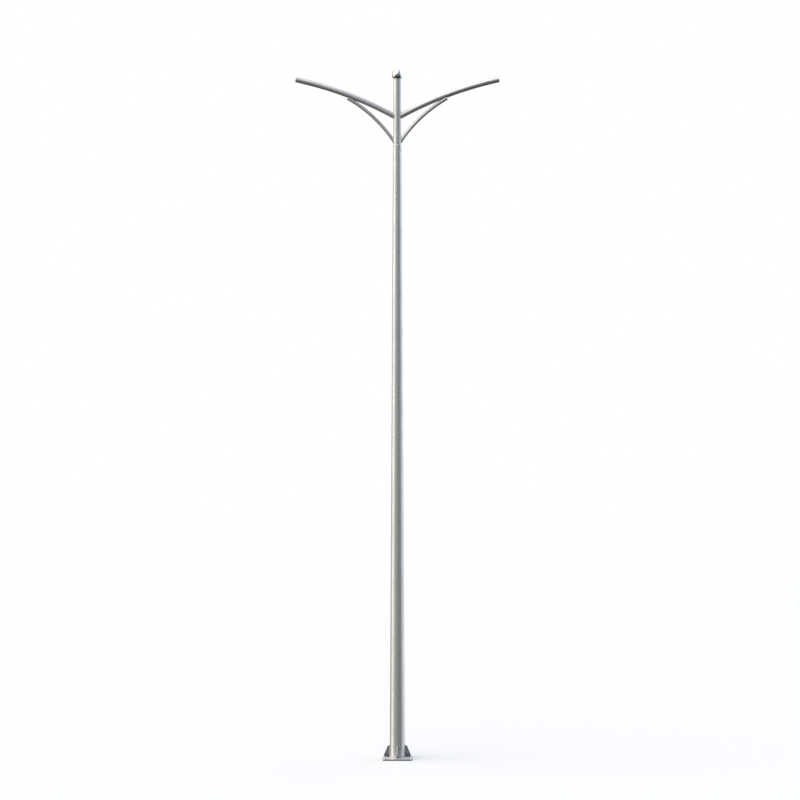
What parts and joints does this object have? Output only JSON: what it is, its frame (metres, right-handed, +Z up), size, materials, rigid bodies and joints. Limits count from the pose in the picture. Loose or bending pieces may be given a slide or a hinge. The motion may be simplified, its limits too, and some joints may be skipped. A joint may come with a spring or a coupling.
{
  "type": "street lamp post",
  "caption": "Tapered steel street lamp post on a flanged base, with curved twin arms and braces, a ball finial and a rear service door.",
  "frame": {"origin": "centre of the base plate's underside, on the ground", "axes": "+Z up the post, +X along the right arm, -Y towards the front, +Y towards the side with the service door"},
  "size_m": [2.8178, 0.4, 9.5],
  "materials": {
    "silver_coat": "hot-dip galvanised steel with a satin silver-grey coat",
    "polished_stainless": "polished stainless steel",
    "stainless_fasteners": "plain stainless steel",
    "zinc_plate": "bright zinc plate",
    "seal_rubber": "black cellular rubber",
    "board_laminate": "brown phenolic laminate",
    "breaker_plastic": "light grey moulded plastic",
    "toggle_plastic": "black moulded plastic",
    "terminal_plastic": "black moulded phenolic",
    "brass": "plain brass"
  },
  "bodies": {
    "post": {"base_plate": "silver_coat", "gusset_front": "silver_coat", "gusset_rear": "silver_coat", "gusset_left": "silver_coat", "gusset_right": "silver_coat", "shaft_bottom": "silver_coat", "shaft_middle": "silver_coat", "shaft_top": "silver_coat", "head_tube": "silver_coat", "seat_ring": "silver_coat", "head_grub_screws": "stainless_fasteners", "arm_left": "silver_coat", "arm_right": "silver_coat", "brace_left": "silver_coat", "brace_right": "silver_coat", "finial_cap": "silver_coat", "finial_ball": "polished_stainless", "finial_stud": "stainless_fasteners", "finial_nut": "stainless_fasteners", "door_frame": "silver_coat", "hinge_fixed_leaves": "silver_coat", "hinge_pins": "stainless_fasteners", "board_brackets": "zinc_plate", "equipment_board": "board_laminate", "board_screws": "zinc_plate", "mounting_rail": "zinc_plate", "circuit_breaker": "breaker_plastic", "terminal_block": "terminal_plastic", "terminal_screws": "brass", "earth_stud": "brass", "earth_nuts": "brass", "earth_washers": "brass"},
    "door": {"door_panel": "silver_coat", "door_seal": "seal_rubber", "hinge_door_leaves": "silver_coat", "lock_bush": "stainless_fasteners", "lock_bush_nut": "stainless_fasteners"},
    "lock": {"lock_spindle": "stainless_fasteners", "lock_cam": "zinc_plate", "lock_cam_screw": "zinc_plate"},
    "toggle": {"breaker_toggle": "toggle_plastic"}
  },
  "joints": [
    {"name": "door_hinge", "type": "hinge", "parent": "post", "child": "door", "pos_m": [-0.0675, 0.08272, 1], "axis": [0.0034, -0.0041, 1], "range_deg": [0, 120]},
    {"name": "lock_turn", "type": "hinge", "parent": "door", "child": "lock", "pos_m": [0, 0.09977, 1], "axis": [0, 1, 0], "range_deg": [0, 90]},
    {"name": "breaker_switch", "type": "hinge", "parent": "post", "child": "toggle", "pos_m": [0, 0.0445, 1.06], "axis": [-1, 0, 0], "range_deg": [0, 70]}
  ]
}
